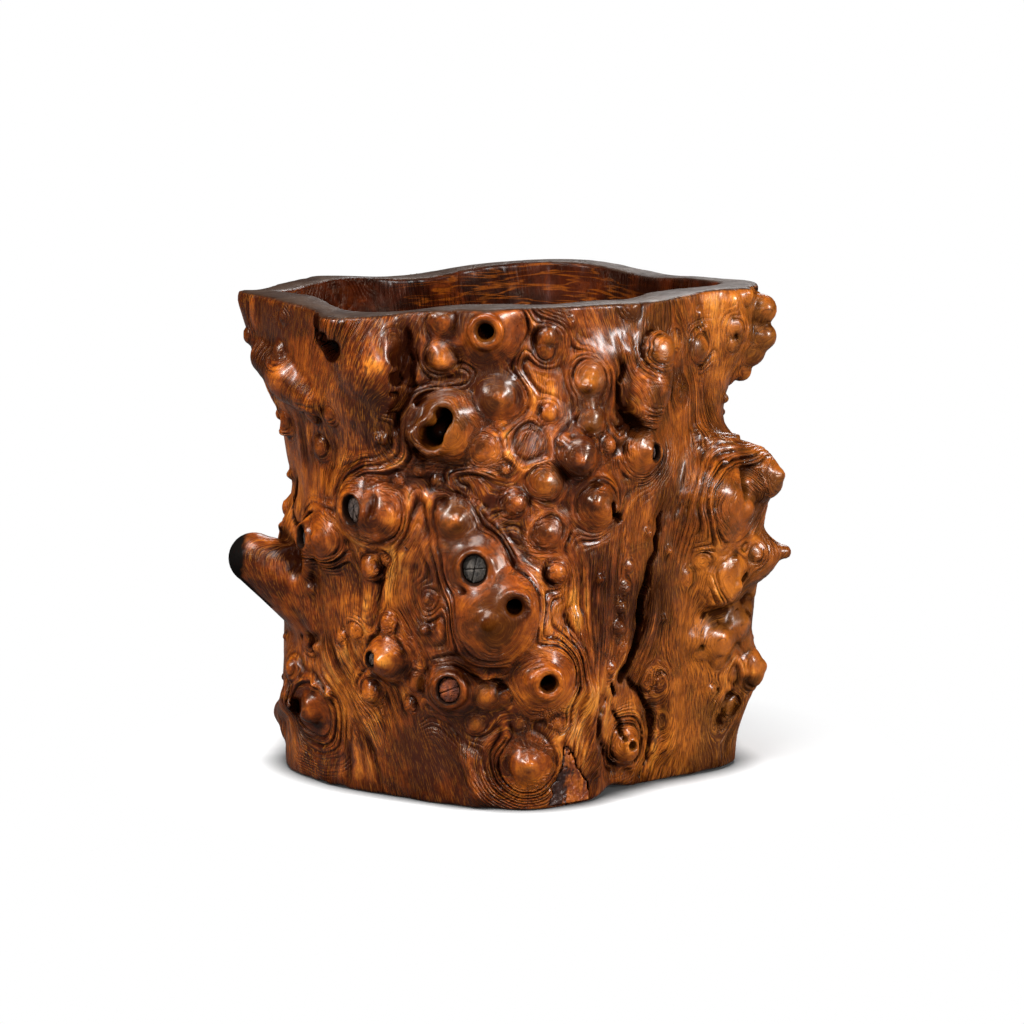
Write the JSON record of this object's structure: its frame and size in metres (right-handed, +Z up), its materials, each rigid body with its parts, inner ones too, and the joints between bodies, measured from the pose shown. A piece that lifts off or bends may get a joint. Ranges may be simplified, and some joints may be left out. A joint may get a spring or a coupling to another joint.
{
  "type": "root wood brush pot",
  "caption": "Hollowed burl pot with knobs, knot holes, loose dead knots and a let-in floor board, for standing brushes.",
  "frame": {"origin": "on the ground under the middle of the pot's outline seen from above", "axes": "+Z up out of the mouth, -Y to the front with the open knot holes, +X to the right with the pointed cone"},
  "size_m": [0.2082, 0.1856, 0.18],
  "materials": {
    "burl_wood": "waxed red-brown burl with amber knob tops, near-black creases and a satin gloss",
    "board_wood": "plain brown board, dull wax",
    "wedge_wood": "dark pitted old wood, dull",
    "dead_knot": "dry grey split knot, matte"
  },
  "bodies": {
    "root": {"burl_wall": "burl_wood", "floor_board": "board_wood", "foot_wedge": "wedge_wood", "knot_core_left_big": "dead_knot", "knot_core_left_edge": "dead_knot", "knot_core_centre": "dead_knot", "knot_core_low": "dead_knot", "knot_core_right": "dead_knot", "knot_core_low_left": "dead_knot"}
  },
  "joints": []
}
